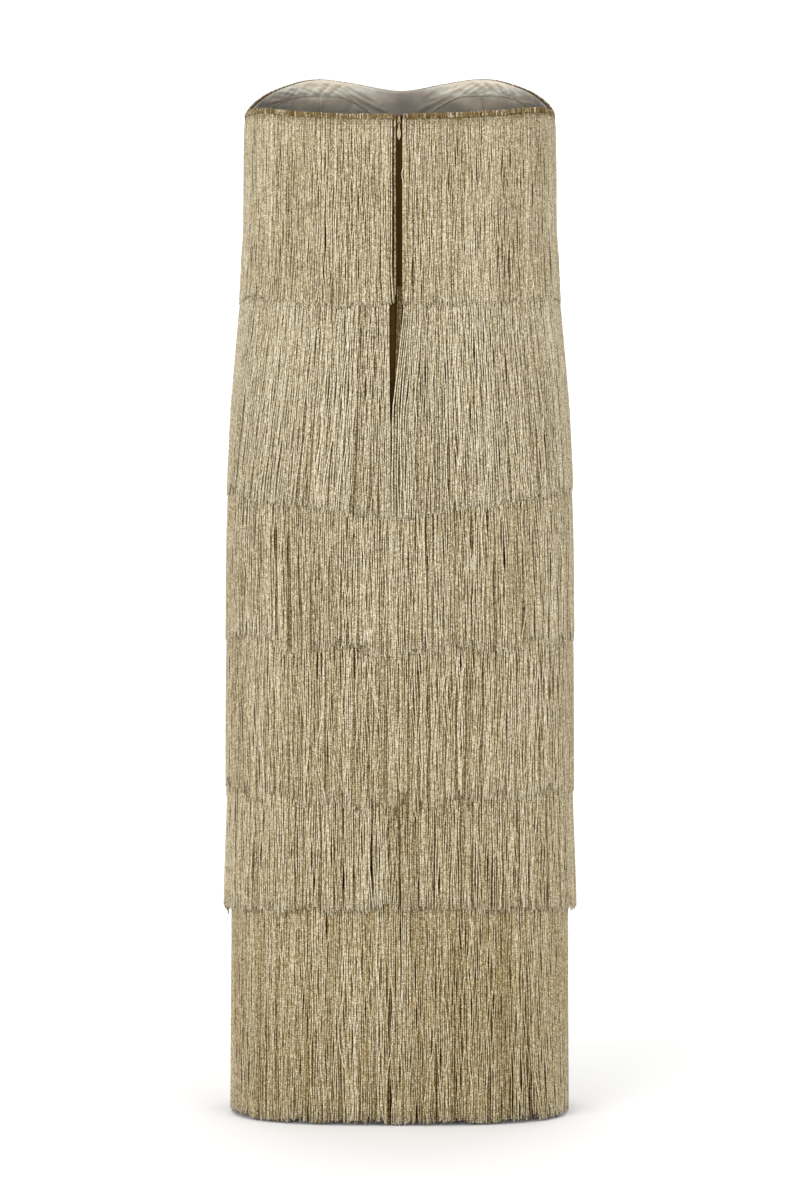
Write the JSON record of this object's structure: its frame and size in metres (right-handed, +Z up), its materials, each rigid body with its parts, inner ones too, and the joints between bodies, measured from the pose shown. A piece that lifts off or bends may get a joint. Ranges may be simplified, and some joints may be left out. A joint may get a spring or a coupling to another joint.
{
  "type": "maxi dress",
  "caption": "Strapless column maxi dress with a sweetheart front, tiers of long cord fringe, lined cups and a short centre back zip with a pull, hollow in its worn form.",
  "frame": {"origin": "on the body's axis at the height of the underarms, where the wearer's chest holds the dress up", "axes": "+Z up, the front of the wearer faces -Y, +X is the wearer's left"},
  "size_m": [0.382, 0.2493, 1.1275],
  "materials": {
    "shell": "matt satin",
    "lining": "satin",
    "fringe": "metallic cord",
    "zip_tape": "woven",
    "zip_chain": "matt",
    "zip_metal": "polished",
    "zip_pull": "enamel"
  },
  "bodies": {
    "dress": {"front_shell": "shell", "back_left_shell": "shell", "back_right_shell": "shell", "lining_upper": "lining", "lining_centre": "lining", "lining_cup_left_outer": "lining", "lining_cup_left_inner": "lining", "lining_cup_right_inner": "lining", "lining_cup_right_outer": "lining", "fringe_tier_1": "fringe", "fringe_tier_2": "fringe", "fringe_tier_3": "fringe", "fringe_tier_4": "fringe", "fringe_tier_5": "fringe", "fringe_tier_6": "fringe", "zip_tape_left": "zip_tape", "zip_tape_right": "zip_tape", "zip_chain": "zip_chain", "zip_slider": "zip_metal"},
    "pull": {"zip_pull": "zip_pull"}
  },
  "joints": [
    {"name": "pull_swing", "type": "hinge", "parent": "dress", "child": "pull", "pos_m": [0, 0.1033, -0.0324], "axis": [1, 0, 0], "range_deg": [0, 160]}
  ]
}
